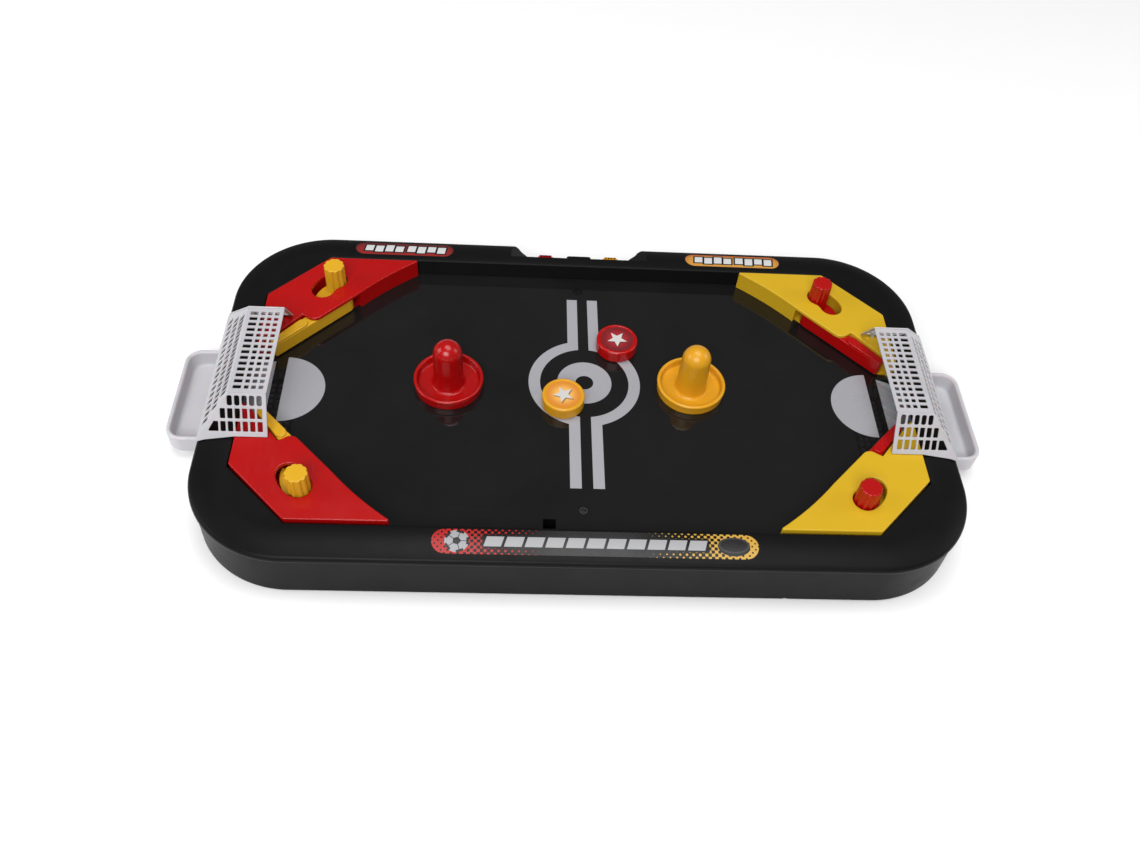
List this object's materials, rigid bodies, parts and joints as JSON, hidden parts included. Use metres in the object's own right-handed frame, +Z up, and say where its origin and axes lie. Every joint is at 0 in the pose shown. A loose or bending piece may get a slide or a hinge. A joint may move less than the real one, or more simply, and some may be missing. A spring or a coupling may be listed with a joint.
{
  "type": "tabletop air hockey table",
  "caption": "Tabletop hockey game: rimmed sliding field, sprung corner flippers, cage goals with puck trays, hand pushers and pucks.",
  "frame": {"origin": "on the ground under the middle of the table", "axes": "+X along the table towards the yellow end, +Y towards the rim with the score sliders, +Z up"},
  "size_m": [0.546, 0.278, 0.068],
  "materials": {
    "shell_black": "satin black moulded shell",
    "cover_black": "matt black base sheet",
    "panel_print": "smooth black panel with a pale printed pitch",
    "foot_rubber": "soft matt rubber",
    "screw_steel": "zinc-plated",
    "screw_black": "blackened cross-head",
    "spring_steel": "drawn wire",
    "net_white": "white moulded lattice",
    "tray_frosted": "frosted white",
    "plastic_red": "glossy red moulding",
    "plastic_yellow": "glossy yellow moulding",
    "puck_rim_red": "glossy red moulding",
    "puck_rim_yellow": "glossy yellow moulding",
    "label_print": null
  },
  "bodies": {
    "table": {"upper_shell": "shell_black", "play_panel": "panel_print", "bottom_cover": "cover_black", "rubber_feet": "foot_rubber", "cover_screws": "screw_steel", "panel_screws": "screw_black", "block_screws": "screw_steel", "tray_screws": "screw_steel", "pivot_pins": "screw_steel", "return_springs": "spring_steel", "goal_net_left": "net_white", "goal_net_right": "net_white", "goal_tray_left": "tray_frosted", "goal_tray_right": "tray_frosted", "label_front": "label_print", "label_red": "label_print", "label_yellow": "label_print", "block_cover_rb": "plastic_red", "block_base_rb": "plastic_red", "block_cover_rf": "plastic_red", "block_base_rf": "plastic_red", "block_cover_yb": "plastic_yellow", "block_base_yb": "plastic_yellow", "block_cover_yf": "plastic_yellow", "block_base_yf": "plastic_yellow"},
    "flipper_rb": {"flipper_rb": "plastic_yellow"},
    "flipper_rf": {"flipper_rf": "plastic_yellow"},
    "flipper_yb": {"flipper_yb": "plastic_red"},
    "flipper_yf": {"flipper_yf": "plastic_red"},
    "score_slider_red": {"score_slider_red": "plastic_red"},
    "score_slider_yellow": {"score_slider_yellow": "plastic_yellow"},
    "pusher_red": {"pusher_red": "plastic_red"},
    "pusher_yellow": {"pusher_yellow": "plastic_yellow"},
    "puck_red": {"puck_red": "puck_rim_red", "puck_sticker_red": "label_print"},
    "puck_yellow": {"puck_yellow": "puck_rim_yellow", "puck_sticker_yellow": "label_print"}
  },
  "joints": [
    {"name": "flipper_rb_swing", "type": "hinge", "parent": "table", "child": "flipper_rb", "pos_m": [-0.1675, 0.076, 0.035], "axis": [0, 0, 1], "range_deg": [0, 46], "stiffness_Nm_per_rad": 0.02, "springref_deg": -8.59},
    {"name": "flipper_rf_swing", "type": "hinge", "parent": "table", "child": "flipper_rf", "pos_m": [-0.1675, -0.076, 0.035], "axis": [0, 0, 1], "range_deg": [-46, 0], "stiffness_Nm_per_rad": 0.02, "springref_deg": 8.59},
    {"name": "flipper_yb_swing", "type": "hinge", "parent": "table", "child": "flipper_yb", "pos_m": [0.1675, 0.076, 0.035], "axis": [0, 0, 1], "range_deg": [-46, 0], "stiffness_Nm_per_rad": 0.02, "springref_deg": 8.59},
    {"name": "flipper_yf_swing", "type": "hinge", "parent": "table", "child": "flipper_yf", "pos_m": [0.1675, -0.076, 0.035], "axis": [0, 0, 1], "range_deg": [0, 46], "stiffness_Nm_per_rad": 0.02, "springref_deg": -8.59},
    {"name": "score_red_slide", "type": "slide", "parent": "table", "child": "score_slider_red", "axis": [1, 0, 0], "range_m": [-0.007, 0.0095]},
    {"name": "score_yellow_slide", "type": "slide", "parent": "table", "child": "score_slider_yellow", "axis": [1, 0, 0], "range_m": [-0.0085, 0.008]},
    {"name": "pusher_red_glide", "type": "slide", "parent": "table", "child": "pusher_red", "axis": [0, 1, 0], "range_m": [-0.0985, 0.0835]},
    {"name": "pusher_yellow_glide", "type": "slide", "parent": "table", "child": "pusher_yellow", "axis": [0, 1, 0], "range_m": [-0.1005, 0.0815]},
    {"name": "puck_red_glide", "type": "slide", "parent": "table", "child": "puck_red", "axis": [0, 1, 0], "range_m": [-0.1455, 0.0545]},
    {"name": "puck_yellow_glide", "type": "slide", "parent": "table", "child": "puck_yellow", "axis": [0, 1, 0], "range_m": [-0.093, 0.1065]}
  ]
}
